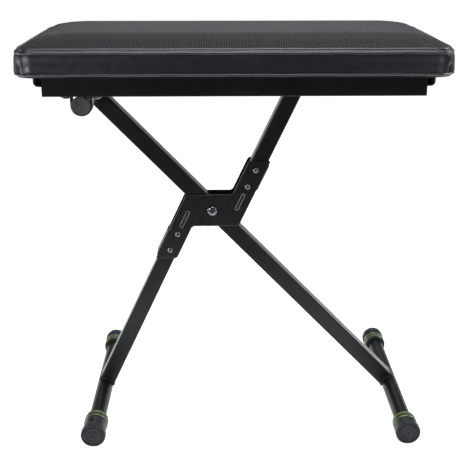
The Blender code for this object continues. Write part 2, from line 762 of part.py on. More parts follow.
def end_bar(end, side, parent):
    """Cross channel under the end of the board, notched to fit round the ends of the rails."""
    outer = side * (RAIL_LENGTH / 2 + END_BAR_OVERHANG)
    inner = outer - side * END_BAR_WIDTH
    bottom = RAIL_TOP - END_BAR_HEIGHT
    path = [(outer, RAIL_TOP), (outer, bottom), (inner, bottom), (inner, RAIL_TOP)]
    path = rounded(path, [0, END_BAR_RADIUS, RAIL_BEND, 0], 4)
    length = 2 * (RAIL_FACE - END_BAR_INSET)
    obj = bent_sheet(f"end_bar_{end}", path, END_BAR_SHEET, length, "Y", -side)
    for y_side, y_name in ((FRONT, "front"), (REAR, "rear")):
        # The cut runs from the rail's clearance to past the bar's end, back and height
        deep = RAIL_FLANGE + CLEARANCE + END_BAR_WIDTH
        wide = 2 * END_BAR_WIDTH
        cut_x = side * (RAIL_LENGTH / 2 + CLEARANCE - wide / 2)
        cut_y = y_side * (RAIL_FACE - RAIL_FLANGE - CLEARANCE + deep / 2)
        size = (wide, deep, 4 * END_BAR_HEIGHT)
        notch = box(f"end_bar_{end}_{y_name}_notch", size, (cut_x, cut_y, RAIL_TOP))
        boolean(obj, as_cutter(notch))
    add_part(obj, BLACK_PAINT, parent)


def notch_places():
    return [LOCK.x + number * NOTCH_PITCH for number in range(NOTCH_COUNT)]


def notch_plate(end, side, parent):
    """Angle under the board whose lower edge has one notch for each seat height."""
    tips = LOCK.z + LOCK_RADIUS + LOCK_PASS
    left, right = LOCK.x - NOTCH_MARGIN, notch_places()[-1] + NOTCH_MARGIN
    outer = side * NOTCH_Y
    path = [(outer, tips), (outer, RAIL_TOP), (outer - side * NOTCH_FLANGE, RAIL_TOP)]
    path = rounded(path, [0, NOTCH_BEND, 0], 3)
    obj = bent_sheet(f"notch_plate_{end}", path, NOTCH_SHEET, right - left, "X", side)
    obj.location.x = (left + right) / 2
    for number, x in enumerate(notch_places(), 1):
        radius = LOCK_RADIUS + CLEARANCE
        middle = Vector((x, outer, tips + NOTCH_DEPTH - radius))
        boolean(obj, bore_cutter(f"notch_{end}_{number}", radius, middle, 0.02))
    add_screws = notch_screw_places(side)
    for number, (x, y) in enumerate(add_screws, 1):
        boolean(obj, upright_bore(f"notch_plate_{end}_bore_{number}", SCREW_RADIUS, x, y, RAIL_TOP))
    add_part(obj, BLACK_PAINT, parent)
    for number, (x, y) in enumerate(add_screws, 1):
        place = Vector((x, y, RAIL_TOP - NOTCH_SHEET - CLEARANCE))
        wood_screw(f"notch_plate_screw_{end}_{number}", place, NOTCH_SHEET + CLEARANCE, parent)


def notch_screw_places(side):
    y = side * (NOTCH_Y - NOTCH_FLANGE * NOTCH_SCREW_SHARE)
    left, right = LOCK.x, notch_places()[-1]
    return (left, y), (right, y)


def seat_board(parent):
    """Plywood board with blind holes for the screws of the rails and notch plates."""
    half_width, half_depth = BOARD_WIDTH / 2, BOARD_DEPTH / 2
    corners = [
        (half_width, half_depth),
        (-half_width, half_depth),
        (-half_width, -half_depth),
        (half_width, -half_depth),
    ]
    obj = flat_outline("seat_board", rounded(corners, [BOARD_CORNER] * 4, 6), BOARD_THICKNESS, 0)
    # The outline was made upright, and lies flat once its turn is taken away
    obj.rotation_euler = (0, 0, 0)
    obj.location = (0, 0, BOARD_BOTTOM + BOARD_THICKNESS / 2)
    for side, end in ((FRONT, "front"), (REAR, "rear")):
        places = [(-RAIL_SCREW_X, rail_screw_y(side)), (RAIL_SCREW_X, rail_screw_y(side))]
        places += notch_screw_places(side)
        depth = 2 * (SCREW_DEPTH + 2 * CLEARANCE)
        for number, (x, y) in enumerate(places, 1):
            name = f"board_{end}_bore_{number}"
            boolean(obj, upright_bore(name, SCREW_RADIUS, x, y, BOARD_BOTTOM, depth))
    add_part(obj, PLYWOOD, parent)


def rounded_ring(half_width, half_depth, radius, height):
    """A rounded rectangle as a ring of points, at a height above the board's underside."""
    corners = ((1, 1), (-1, 1), (-1, -1), (1, -1))
    arcs = []
    for quarter, (side_x, side_y) in enumerate(corners):
        centre = Vector((side_x * (half_width - radius), side_y * (half_depth - radius)))
        angles = [(quarter + step / 6) * math.pi / 2 for step in range(7)]
        arcs.append([centre + radius * Vector((math.cos(a), math.sin(a))) for a in angles])
    ring = []
    for arc, next_arc, pieces in zip(arcs, arcs[1:] + arcs[:1], (6, 3, 6, 3)):
        ring += arc
        ring += [arc[-1].lerp(next_arc[0], step / pieces) for step in range(1, pieces)]
    return [(x, y, BOARD_BOTTOM + height) for x, y in ring]


def cushion_ring(inset, height):
    """The seat's outline drawn in by inset, with a corner that sharpens towards the middle."""
    half_depth = SEAT_DEPTH / 2 - inset
    radius = SEAT_CORNER * half_depth / (SEAT_DEPTH / 2)
    return rounded_ring(SEAT_WIDTH / 2 - inset, half_depth, radius, height)


def recess_ring(height):
    """Outline of the recess that the board lies in."""
    radius = BOARD_CORNER + CLEARANCE
    return rounded_ring(
        BOARD_WIDTH / 2 + CLEARANCE, BOARD_DEPTH / 2 + CLEARANCE, radius, height
    )


def seat_cushion(parent):
    """Upholstered cushion: crowned top, sides drawn in above and below, and the board's recess."""
    side_steps = 5
    upper = [
        (
            CUSHION_SHOULDER * (1 - math.cos(angle)),
            CUSHION_BELT + (CUSHION_SIDE - CUSHION_BELT) * math.sin(angle),
        )
        for angle in (math.pi / 2 * step / side_steps for step in range(side_steps + 1))
    ]
    lower = [
        (
            CUSHION_TUCK * (1 - math.cos(angle)),
            CUSHION_BELT * (1 - math.sin(angle)),
        )
        for angle in (math.pi / 2 * step / side_steps for step in range(side_steps, 0, -1))
    ]
    middle = SEAT_DEPTH / 2 - CROWN_FLAT / 2
    crown = [
        (
            CUSHION_SHOULDER + (middle - CUSHION_SHOULDER) * share,
            CUSHION_HEIGHT - (CUSHION_HEIGHT - CUSHION_SIDE) * (1 - share) ** CROWN_POWER,
        )
        for share in (0.05, 0.12, 0.22, 0.4, 0.7, 1.0)
    ]
    recess_top = BOARD_THICKNESS + CLEARANCE
    levels = [cushion_ring(inset, height) for inset, height in lower + upper + crown]
    rings = [recess_ring(recess_top), recess_ring(0)] + levels
    maker = bmesh.new()
    made = [[maker.verts.new(point) for point in ring] for ring in rings]
    for below, above in zip(made, made[1:]):
        for (first, second), (fourth, third) in zip(closed_pairs(below), closed_pairs(above)):
            maker.faces.new((first, second, third, fourth))
    maker.faces.new(made[-1])
    maker.faces.new(made[0])
    bmesh.ops.recalc_face_normals(maker, faces=maker.faces)
    obj = made_mesh(object_from("seat_cushion", maker), 50)
    add_part(obj, VINYL, parent)


def closed_pairs(verts):
    return list(zip(verts, verts[1:] + verts[:1]))


def seat(parent):
    """Cushion on its board, with the rails, end bars, notch plates and hinge straps below."""
    seat_cushion(parent)
    seat_board(parent)
    for side, end in ((FRONT, "front"), (REAR, "rear")):
        rail(end, side, parent)
        hinge_strap(end, side, parent)
        notch_plate(end, side, parent)
    end_bar("left", -1, parent)
    end_bar("right", 1, parent)


long_leg()
short_leg(axis_empty("leg_pivot_axis", PIVOT))
seat(axis_empty("seat_hinge_axis", HINGE))
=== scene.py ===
"""Looks of a padded keyboard bench on a single folding X frame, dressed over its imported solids."""

import json
import math

import bmesh
import bpy
from mathutils import Euler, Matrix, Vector
from mathutils.bvhtree import BVHTree


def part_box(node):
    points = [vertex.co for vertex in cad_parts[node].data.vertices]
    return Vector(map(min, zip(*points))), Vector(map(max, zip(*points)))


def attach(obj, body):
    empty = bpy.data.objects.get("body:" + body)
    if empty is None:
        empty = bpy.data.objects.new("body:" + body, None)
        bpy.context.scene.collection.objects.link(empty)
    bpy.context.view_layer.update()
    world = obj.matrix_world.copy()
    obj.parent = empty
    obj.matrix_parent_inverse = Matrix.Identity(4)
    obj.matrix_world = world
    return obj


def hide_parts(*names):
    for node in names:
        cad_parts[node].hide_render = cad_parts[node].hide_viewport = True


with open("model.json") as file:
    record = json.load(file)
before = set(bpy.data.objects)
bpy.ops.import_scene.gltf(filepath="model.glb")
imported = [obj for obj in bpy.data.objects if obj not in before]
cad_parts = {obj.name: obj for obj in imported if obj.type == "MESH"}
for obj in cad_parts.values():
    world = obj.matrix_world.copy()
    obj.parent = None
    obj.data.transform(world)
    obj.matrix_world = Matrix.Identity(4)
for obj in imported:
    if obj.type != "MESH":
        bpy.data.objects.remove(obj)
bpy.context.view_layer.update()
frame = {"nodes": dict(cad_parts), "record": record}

MM = 0.001


def middle_of(node):
    """The middle of a solid's box."""
    low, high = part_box(node)
    return (low + high) / 2


# Axes of the round bars and tubes, all of which run along Y.
PIVOT = middle_of("pivot_bush")
HINGE = middle_of("hinge_bar")
LOCK = middle_of("lock_bar")
LEFT_FOOT = middle_of("left_foot_tube")
RIGHT_FOOT = middle_of("right_foot_tube")
SHORT_LEAN = math.radians(25.35)
LEG_WIDTH = 25.2 * MM
LEG_DEPTH = 27.0 * MM
TUBE_RADIUS = 12.7 * MM
LOCK_RADIUS = 6.0 * MM
# How far the foot tubes and the faces of their caps reach to the front and to the rear.
FOOT_TUBE_REACH = 0.170
FOOT_REACH = 0.177
# The left front cap's sleeve is longer than the others' by this much.
LONG_CAP_EXTRA = 13 * MM

# The seat: 610 by 320 mm with 28 mm corners.
SEAT_LENGTH, SEAT_WIDTH, SEAT_CORNER = 0.610, 0.320, 0.028
# The two ridges of the top seam, and the hem, above the floor.
SEAM_HEIGHTS = (0.5928, 0.5902)
HEM_HEIGHT = 0.5573
# The smooth panel along the middle of the top reaches this far to the front and to the rear.
PANEL_EDGE = 84 * MM
# The recess that holds the board: half its length, half its width, and its roof's height.
RECESS = (0.294, 0.151, 0.572)
# The cover swells by this much at most, and its crown then stands this much above the solid's.
SWELL_CAP = 2.6 * MM
SWELL_FRAMES = 20
CROWN_PROUD = 0.8 * MM


# Hand tools -----------------------------------------------------------------------------


def all_off():
    """Leaves nothing selected, so that the next operator works on one new piece alone."""
    if bpy.context.mode != "OBJECT":
        bpy.ops.object.mode_set(mode="OBJECT")
    bpy.ops.object.select_all(action="DESELECT")


def take(piece):
    """Makes a piece the only selected and the active one."""
    all_off()
    piece.select_set(True)
    bpy.context.view_layer.objects.active = piece
    return piece


def edit(piece):
    """Opens a piece for editing."""
    take(piece)
    bpy.ops.object.mode_set(mode="EDIT")


def pick(kind, test):
    """In edit mode, selects those faces, edges or corners of the active piece that pass a test."""
    bpy.ops.mesh.select_mode(type=kind)
    bpy.ops.mesh.select_all(action="DESELECT")
    data = bpy.context.object.data
    mesh = bmesh.from_edit_mesh(data)
    for item in {"VERT": mesh.verts, "EDGE": mesh.edges, "FACE": mesh.faces}[kind]:
        item.select_set(bool(test(item)))
    mesh.select_flush_mode()
    bmesh.update_edit_mesh(data)


def settle(piece, smooth=35):
    """Puts a piece's place into its mesh and smooths it up to the given angle."""
    take(piece)
    bpy.ops.object.transform_apply(location=True, rotation=True, scale=True)
    bpy.ops.object.shade_smooth_by_angle(angle=math.radians(smooth))
    return piece


def dress(piece, name, body, material, stands_for=()):
    """Names a finished piece, paints it and hands it to the body that it moves with."""
    piece.name = name
    piece.data.name = name
    piece.data.materials.clear()
    piece.data.materials.append(material)
    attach(piece, body)
    if stands_for:
        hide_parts(*stands_for)
    return piece


def lathe(centre, profile, steps=64, upright=False):
    """A body turned about Y, or about Z where upright: one circle, extruded and resized.

    The profile is a list of (place along the axis, radius).
    """
    axis = Vector((0, 0, 1)) if upright else Vector((0, 1, 0))
    across = Vector((1, 1, 1)) - axis
    base = Vector(centre)
    base -= axis * base.dot(axis)
    start, radius = profile[0]
    all_off()
    bpy.ops.mesh.primitive_circle_add(
        vertices=steps,
        radius=radius,
        fill_type="NOTHING",
        location=base + axis * start,
        rotation=(0 if upright else math.pi / 2, 0, 0),
    )
    piece = bpy.context.object
    edit(piece)
    bpy.ops.mesh.select_all(action="SELECT")
    bpy.ops.mesh.edge_face_add()
    bpy.ops.mesh.select_mode(type="EDGE")
    for (near, inner), (far, outer) in zip(profile, profile[1:]):
        step = axis * (far - near)
        grow = axis + across * (outer / inner)
        bpy.ops.mesh.extrude_region_move(TRANSFORM_OT_translate={"value": step})
        bpy.ops.transform.resize(value=grow, center_override=base + axis * far)
    bpy.ops.mesh.select_all(action="SELECT")
    bpy.ops.mesh.remove_doubles(threshold=1e-6)
    bpy.ops.mesh.select_mode(type="EDGE")
    bpy.ops.mesh.select_all(action="DESELECT")
    bpy.ops.mesh.select_non_manifold(extend=False, use_boundary=True)
    bpy.ops.mesh.edge_face_add()
    bpy.ops.mesh.select_all(action="SELECT")
    bpy.ops.mesh.normals_make_consistent(inside=False)
    return settle(piece)


def solid_copy(node, soften=0.5 * MM, rounds=2, sharp=30, smooth=30):
    """A copy of a CAD solid: its triangles joined, its sharp edges softened, its flats flat."""
    piece = bpy.data.objects.new(node + "_look", frame["nodes"][node].data.copy())
    bpy.context.scene.collection.objects.link(piece)
    edit(piece)
    bpy.ops.mesh.select_all(action="SELECT")
    bpy.ops.mesh.remove_doubles(threshold=1e-6)
    bpy.ops.mesh.dissolve_limited(angle_limit=math.radians(0.4))
    bpy.ops.object.mode_set(mode="OBJECT")
    bpy.ops.mesh.customdata_custom_splitnormals_clear()
    bevel = piece.modifiers.new("softened edges", "BEVEL")
    bevel.width = soften
    bevel.segments = rounds
    bevel.limit_method = "ANGLE"
    bevel.angle_limit = math.radians(sharp)
    bpy.ops.object.modifier_apply(modifier=bevel.name)
    settle(piece, smooth)
    return keep_flats(piece)


def keep_flats(piece):
    """Turns the normals beside a rounded edge to the large faces, so that these stay flat."""
    take(piece)
    weighted = piece.modifiers.new("flat faces stay flat", "WEIGHTED_NORMAL")
    weighted.keep_sharp = True
    bpy.ops.object.modifier_apply(modifier=weighted.name)
    return piece


def cut_out(piece, tool):
    """Cuts a tool's shape out of a piece and throws the tool away."""
    cut = piece.modifiers.new("cut", "BOOLEAN")
    cut.object = tool
    cut.solver = "EXACT"
    take(piece)
    bpy.ops.object.modifier_apply(modifier=cut.name)
    bpy.data.objects.remove(tool)
    return settle(piece, 32)


def bead(points, radius, sides=3):
    """A round bead laid along a closed line of points, as a mesh."""
    line = bpy.data.curves.new("bead", "CURVE")
    line.dimensions = "3D"
    line.bevel_depth = radius
    line.bevel_resolution = sides
    spline = line.splines.new("POLY")
    spline.points.add(len(points) - 1)
    for place, point in zip(spline.points, points):
        place.co = (*point, 1)
    spline.use_cyclic_u = True
    piece = bpy.data.objects.new("bead", line)
    bpy.context.scene.collection.objects.link(piece)
    take(piece)
    bpy.ops.object.convert(target="MESH")
    piece = bpy.context.object
    edit(piece)
    bpy.ops.mesh.select_all(action="SELECT")
    bpy.ops.mesh.remove_doubles(threshold=1e-6)
    bpy.ops.mesh.normals_make_consistent(inside=False)
    return settle(piece, 60)


# Finishes -------------------------------------------------------------------------------


def colour(code):
    """A hex colour as written on a screen, turned to linear light."""
    parts = [int(code[i : i + 2], 16) / 255 for i in (1, 3, 5)]
    return (*[p / 12.92 if p <= 0.04045 else ((p + 0.055) / 1.055) ** 2.4 for p in parts], 1.0)


def add(tree, kind, sockets=None, **settings):
    """One shader node with its settings. Its sockets are set, or linked to a socket or node."""
    node = tree.nodes.new("ShaderNode" + kind)
    for key, value in settings.items():
        setattr(node, key, value)
    for key, value in (sockets or {}).items():
        if isinstance(value, bpy.types.Node):
            value = next(output for output in value.outputs if output.enabled)
        if isinstance(value, bpy.types.NodeSocket):
            tree.links.new(value, node.inputs[key])
        else:
            node.inputs[key].default_value = value
    return node


def finish_named(name):
    """An empty material, its tree and the place on the piece that its patterns follow."""
    material = bpy.data.materials.new(name)
    material.use_nodes = True
    tree = material.node_tree
    tree.nodes.clear()
    return material, tree, add(tree, "TexCoord").outputs["Object"]


def powder_coat(name, dark, light, gloss, sheen=0.4, peeled=0.10):
    """Black polyester powder coat, sprayed and baked: satin, with a faint orange peel.

    It is a little cloudy in tone and uneven in gloss where hands have been. Gloss is its middle
    roughness, sheen the strength of its reflections, and peeled how much the peel shows.
    The real peel is near 1 mm wide. It is drawn at 2.4 mm, as finer would not show.
    """
    material, tree, where = finish_named(name)
    cloud = add(tree, "TexNoise", {"Vector": where, "Scale": 1 / (38 * MM), "Detail": 3.0})
    share = add(tree, "MapRange", {0: cloud, 1: 0.35, 2: 0.65})
    tint = add(tree, "Mix", {0: share, 6: colour(dark), 7: colour(light)}, data_type="RGBA")
    handled = add(
        tree,
        "TexNoise",
        {"Vector": where, "Scale": 1 / (9 * MM), "Detail": 4.0, "Roughness": 0.6},
    )
    rough = add(tree, "MapRange", {0: handled, 1: 0.3, 2: 0.7, 3: gloss - 0.05, 4: gloss + 0.06})
    peel = add(tree, "TexNoise", {"Vector": where, "Scale": 1 / (2.4 * MM), "Detail": 1.0})
    normal = add(tree, "Bump", {"Height": peel, "Strength": peeled, "Distance": 0.06 * MM})
    coat = add(
        tree,
        "BsdfPrincipled",
        {"Base Color": tint, "Roughness": rough, "Specular IOR Level": sheen, "Normal": normal},
    )
    add(tree, "OutputMaterial", {"Surface": coat})
    return material


def moulded(name, dark, light, gloss, sheen=0.25):
    """Injection-moulded plastic or rubber: even colour, a soft gleam, a fine eroded grain.

    The real grain is near 0.2 mm wide. It is drawn at 1.1 mm, so that it shows.
    """
    material, tree, where = finish_named(name)
    cloud = add(tree, "TexNoise", {"Vector": where, "Scale": 1 / (12 * MM), "Detail": 3.0})
    share = add(tree, "MapRange", {0: cloud, 1: 0.35, 2: 0.65})
    tint = add(tree, "Mix", {0: share, 6: colour(dark), 7: colour(light)}, data_type="RGBA")
    grain = add(tree, "TexNoise", {"Vector": where, "Scale": 1 / (1.1 * MM), "Detail": 2.0})
    rough = add(tree, "MapRange", {0: grain, 1: 0.3, 2: 0.7, 3: gloss - 0.05, 4: gloss + 0.05})
    normal = add(tree, "Bump", {"Height": grain, "Strength": 0.3, "Distance": 0.05 * MM})
    skin = add(
        tree,
        "BsdfPrincipled",
        {"Base Color": tint, "Roughness": rough, "Specular IOR Level": sheen, "Normal": normal},
    )
    add(tree, "OutputMaterial", {"Surface": skin})
    return material


def black_zinc():
    """Steel screws and bolts, zinc plated and passivated black.

    Dark metal that still mirrors the lamps, so that heads and sockets show bright glints.
    """
    material, tree, where = finish_named("black_zinc_plated_steel")
    patches = add(tree, "TexNoise", {"Vector": where, "Scale": 1 / (1.6 * MM), "Detail": 3.0})
    share = add(tree, "MapRange", {0: patches, 1: 0.35, 2: 0.65})
    dark, light = colour("#626366"), colour("#86878a")
    tint = add(tree, "Mix", {0: share, 6: dark, 7: light}, data_type="RGBA")
    rough = add(tree, "MapRange", {0: patches, 1: 0.3, 2: 0.7, 3: 0.14, 4: 0.24})
    normal = add(tree, "Bump", {"Height": patches, "Strength": 0.15, "Distance": 0.03 * MM})
    plate = add(
        tree,
        "BsdfPrincipled",
        {"Base Color": tint, "Metallic": 1.0, "Roughness": rough, "Normal": normal},
    )
    add(tree, "OutputMaterial", {"Surface": plate})
    return material


def birch_plywood():
    """The underside of a 12 mm plywood board: pale dull veneer, grain streaks along the board."""
    material, tree, where = finish_named("birch_plywood")
    along = add(tree, "Mapping", {"Vector": where, "Scale": (0.06, 1, 1)})
    streaks = add(
        tree,
        "TexNoise",
        {"Vector": along, "Scale": 1 / (2.2 * MM), "Detail": 4.0, "Roughness": 0.6},
    )
    share = add(tree, "MapRange", {0: streaks, 1: 0.35, 2: 0.65})
    dark, light = colour("#a9855a"), colour("#c9a97c")
    tint = add(tree, "Mix", {0: share, 6: dark, 7: light}, data_type="RGBA")
    figure = add(tree, "TexNoise", {"Vector": along, "Scale": 1 / (14 * MM), "Detail": 2.0})
    dark, light = colour("#8e7453"), colour("#ffffff")
    shade = add(tree, "Mix", {0: figure, 6: dark, 7: light}, data_type="RGBA")
    tint = add(tree, "Mix", {0: 0.5, 6: tint, 7: shade}, data_type="RGBA", blend_type="MULTIPLY")
    rough = add(tree, "MapRange", {0: streaks, 1: 0.3, 2: 0.7, 3: 0.68, 4: 0.8})
    normal = add(tree, "Bump", {"Height": streaks, "Strength": 0.4, "Distance": 0.12 * MM})
    veneer = add(
        tree,
        "BsdfPrincipled",
        {"Base Color": tint, "Roughness": rough, "Normal": normal},
    )
    add(tree, "OutputMaterial", {"Surface": veneer})
    return material


def upholstery_vinyl(name, embossed, gloss=0.30, sheen=0.55):
    """Calendered vinyl on a cloth back: fine leather grain, smooth and rather glossy.

    The embossed grade has a smooth band along its middle and rows of raised pips before and
    behind it, against slipping, duller than the band and painted darker, with painted shade between
    the pips.
    The real grain is finer than 1 mm. It is drawn at 1.5 mm, so that it shows. The pips are
    drawn 3.4 mm apart, the finest that shows. Within 13 mm of both ends of the seat the vinyl
    is drawn duller, as the side lamps would glint on it there.
    """
    material, tree, where = finish_named(name)
    x, y, z = add(tree, "SeparateXYZ", {0: where}).outputs
    cloud = add(tree, "TexNoise", {"Vector": where, "Scale": 1 / (60 * MM), "Detail": 3.0})
    share = add(tree, "MapRange", {0: cloud, 1: 0.35, 2: 0.65})
    dark, light = colour("#111216"), colour("#18191d")
    tint = add(tree, "Mix", {0: share, 6: dark, 7: light}, data_type="RGBA")
    rubbed = add(tree, "TexNoise", {"Vector": where, "Scale": 1 / (7 * MM), "Detail": 3.0})
    rough = add(tree, "MapRange", {0: rubbed, 1: 0.3, 2: 0.7, 3: gloss, 4: gloss + 0.1})
    from_middle = add(tree, "Math", {0: x}, operation="ABSOLUTE")
    duller = add(tree, "MapRange", {0: from_middle, 1: 0.292, 2: 0.301, 3: 0.0, 4: 0.45})
    rough = add(tree, "Math", {0: rough, 1: duller}, operation="ADD")
    size = 1.5 * MM
    grain = add(
        tree, "TexVoronoi", {"Vector": where, "Scale": 1 / size}, feature="DISTANCE_TO_EDGE"
    )
    height = add(tree, "MapRange", {0: grain, 1: 0.0, 2: 0.12})
    normal = add(tree, "Bump", {"Height": height, "Strength": 0.10, "Distance": 0.08 * MM})
    if embossed:
        aside = add(tree, "Math", {0: y}, operation="ABSOLUTE")
        outer = add(tree, "MapRange", {0: aside, 1: PANEL_EDGE - 0.6 * MM, 2: PANEL_EDGE})
        above = add(tree, "MapRange", {0: z, 1: SEAM_HEIGHTS[1], 2: SEAM_HEIGHTS[0]})
        panel = add(tree, "Math", {0: outer, 1: above}, operation="MULTIPLY")
        duller = add(tree, "Math", {0: above, 1: 0.28}, operation="MULTIPLY")
        rough = add(tree, "Math", {0: rough, 1: duller}, operation="ADD")
        pips = add(
            tree,
            "TexVoronoi",
            {"Vector": where, "Scale": 1 / (3.4 * MM), "Randomness": 0.25},
            voronoi_dimensions="2D",
        )
        pip = add(tree, "MapRange", {0: pips, 1: 0.42, 2: 0.16})
        # Painted shade: near black in the hollows between the pips, lighter on their tops, so the
        # strip reads darker.
        dark, light = colour("#030304"), colour("#141517")
        pip_tint_with_painted_shade = add(tree, "Mix", {0: pip, 6: dark, 7: light}, data_type="RGBA")
        tint = add(tree, "Mix", {0: panel, 6: tint, 7: pip_tint_with_painted_shade}, data_type="RGBA")
        pip_rough = add(tree, "MapRange", {0: pip, 3: 0.95, 4: 0.60})
        rough = add(tree, "Mix", {0: panel, 2: rough, 3: pip_rough}, data_type="FLOAT")
        raised = add(tree, "Math", {0: pip, 1: panel}, operation="MULTIPLY")
        normal = add(
            tree,
            "Bump",
            {"Height": raised, "Strength": 0.6, "Distance": 0.45 * MM, "Normal": normal},
        )
    cover = add(
        tree,
        "BsdfPrincipled",
        {
            "Base Color": tint,
            "Roughness": rough,
            "Specular IOR Level": sheen,
            "Specular Tint": (0.90, 0.94, 1.0, 1.0),
            "Normal": normal,
        },
    )
    add(tree, "OutputMaterial", {"Surface": cover})
    return material


# One coat on all the steel. It lies smoothest on the pressings and dullest on the rails. On the rims
# of the ribs it is painted light grey as a painted highlight, and on the end bars lighter grey as
# painted light in their shade.
LEG_PAINT = powder_coat("satin_black_powder_coat", "#0a0c0f", "#101216", 0.32, 0.32)
PLATE_PAINT = powder_coat(
    "satin_black_powder_coat_on_pressing", "#07080a", "#0b0d10", 0.30, 0.42, 0.02
)
# Painted highlight: the rims of the pressed ribs get a light grey coat that stands in for their
# glints.
RIB_RIM_PAINTED_HIGHLIGHT = powder_coat("powder_coat_painted_highlight_grey", "#45474b", "#5b5d61", 0.25, 0.8, 0.02)
FOOT_PAINT = powder_coat("satin_black_powder_coat_on_tube", "#0e0f11", "#141517", 0.40, 0.2)
RAIL_PAINT = powder_coat("satin_black_powder_coat_on_sheet", "#0c0d0f", "#121417", 0.50, 0.12)
# Painted light: the end bars sit in shade under the seat, so their coat is painted a lighter grey.
END_BAR_PAINTED_LIGHT = powder_coat("powder_coat_on_bar_with_painted_light", "#2c2d31", "#36373c", 0.36)
CAP_PLASTIC = moulded("moulded_black_polypropylene", "#222428", "#303338", 0.42, 0.25)
PLUG_PLASTIC = moulded("moulded_dark_grey_polyethylene", "#37383a", "#444547", 0.50)
RING_RUBBER = moulded("moulded_green_rubber", "#435628", "#627842", 0.26, 0.7)
BUSH_NYLON = moulded("turned_natural_nylon", "#c9c8c0", "#dddcd4", 0.40)
BOLT_STEEL = black_zinc()
BOARD_WOOD = birch_plywood()
COVER_VINYL = upholstery_vinyl("embossed_upholstery_vinyl", True)
PLAIN_VINYL = upholstery_vinyl("smooth_upholstery_vinyl", False)
ROLLED_VINYL = upholstery_vinyl("tightly_rolled_vinyl", False, 0.26, 0.9)
TUCKED_VINYL = upholstery_vinyl("tucked_under_vinyl", False, 0.55, 0.1)


# The padded seat ------------------------------------------------------------------------


def in_recess(place):
    """True on the walls and roof of the recess that holds the board."""
    return abs(place.x) < RECESS[0] and abs(place.y) < RECESS[1] and place.z < RECESS[2]


def swollen(cover):
    """Lets the cover swell over its foam under pressure, with its underside held still."""
    held = cover.vertex_groups.new(name="held")
    start = [corner.co.copy() for corner in cover.data.vertices]
    low = min(place.z for place in start)
    held.add(
        [i for i, place in enumerate(start) if place.z < low + 6 * MM or in_recess(place)],
        1.0,
        "REPLACE",
    )
    cloth = cover.modifiers.new("swell", "CLOTH")
    cloth.settings.quality = 5
    cloth.settings.mass = 0.3
    cloth.settings.tension_stiffness = 15
    cloth.settings.compression_stiffness = 15
    cloth.settings.bending_stiffness = 0.5
    cloth.settings.use_pressure = True
    cloth.settings.uniform_pressure_force = 4.0
    cloth.settings.vertex_group_mass = "held"
    cloth.settings.effector_weights.gravity = 0.0
    cloth.collision_settings.use_collision = False
    scene = bpy.context.scene
    for step in range(1, SWELL_FRAMES + 1):
        scene.frame_set(step)
    graph = bpy.context.evaluated_depsgraph_get()
    shaped = bpy.data.meshes.new_from_object(cover.evaluated_get(graph))
    cover.modifiers.remove(cloth)
    for corner, place, moved in zip(cover.data.vertices, start, shaped.vertices):
        travel = moved.co - place
        if travel.length > SWELL_CAP:
            travel = travel.normalized() * SWELL_CAP
        corner.co = place + travel
    bpy.data.meshes.remove(shaped)
    scene.frame_set(1)


def fill_out(cover):
    """Brings the cover's sides and crown out to the size of the seat, its recess left alone."""
    corners = [corner.co for corner in cover.data.vertices]
    wide, deep = max(place.x for place in corners), max(place.y for place in corners)
    high = max(place.z for place in corners)
    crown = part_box("seat_cushion")[1].z + CROWN_PROUD
    for place in corners:
        if not in_recess(place):
            place.x *= SEAT_LENGTH / 2 / wide
            place.y *= SEAT_WIDTH / 2 / deep
            if place.z > SEAM_HEIGHTS[0]:
                share = (place.z - SEAM_HEIGHTS[0]) / (high - SEAM_HEIGHTS[0])
                place.z += share * (crown - high)


def seat_cover():
    """The vinyl cover over its foam: drawn in from the CAD solid, swollen, smoothed, filled."""
    cover = bpy.data.objects.new("seat_cover", frame["nodes"]["seat_cushion"].data.copy())
    bpy.context.scene.collection.objects.link(cover)
    edit(cover)
    bpy.ops.mesh.select_all(action="SELECT")
    bpy.ops.mesh.remove_doubles(threshold=1e-6)
    bpy.ops.object.mode_set(mode="OBJECT")
    bpy.ops.mesh.customdata_custom_splitnormals_clear()
    cover.data.remesh_voxel_size = 4.5 * MM
    cover.data.remesh_voxel_adaptivity = 0.0
    bpy.ops.object.voxel_remesh()
    edit(cover)
    pick("FACE", lambda face: not in_recess(face.calc_center_median()))
    bpy.ops.transform.shrink_fatten(value=-1.6 * MM)
    bpy.ops.object.mode_set(mode="OBJECT")
    swollen(cover)
    even = cover.modifiers.new("even", "SMOOTH")
    even.factor = 0.5
    even.iterations = 3
    bpy.ops.object.modifier_apply(modifier=even.name)
    fill_out(cover)
    finer = cover.modifiers.new("finer", "SUBSURF")
    finer.levels = finer.render_levels = 1
    bpy.ops.object.modifier_apply(modifier=finer.name)
    for face in cover.data.polygons:
        face.use_smooth = True
    return dress(cover, "seat_cover", "seat", COVER_VINYL, ["seat_cushion"])


def round_the_seat(count):
    """Points and outward directions evenly round the seat's outline."""
    half_x, half_y = SEAT_LENGTH / 2 - SEAT_CORNER, SEAT_WIDTH / 2 - SEAT_CORNER
    straight = [2 * half_x, 2 * half_y, 2 * half_x, 2 * half_y]
    arc = math.pi / 2 * SEAT_CORNER
    total = sum(straight) + 4 * arc
    corners = [(half_x, -half_y), (half_x, half_y), (-half_x, half_y), (-half_x, -half_y)]
    found = []
    for index in range(count):
        left = total * index / count
        for side in range(4):
            out = Vector((math.sin(side * math.pi / 2), -math.cos(side * math.pi / 2), 0))
            along = Vector((-out.y, out.x, 0))
            centre = Vector((*corners[side], 0))
            if left <= straight[side]:
                place = centre + out * SEAT_CORNER - along * (straight[side] - left)
                found.append((place, out, total * index / count))
                break
            left -= straight[side]
            if left <= arc:
                turn = left / SEAT_CORNER
                lean = out * math.cos(turn) + along * math.sin(turn)
                found.append((centre + lean * SEAT_CORNER, lean, total * index / count))
                break
            left -= arc
    return found


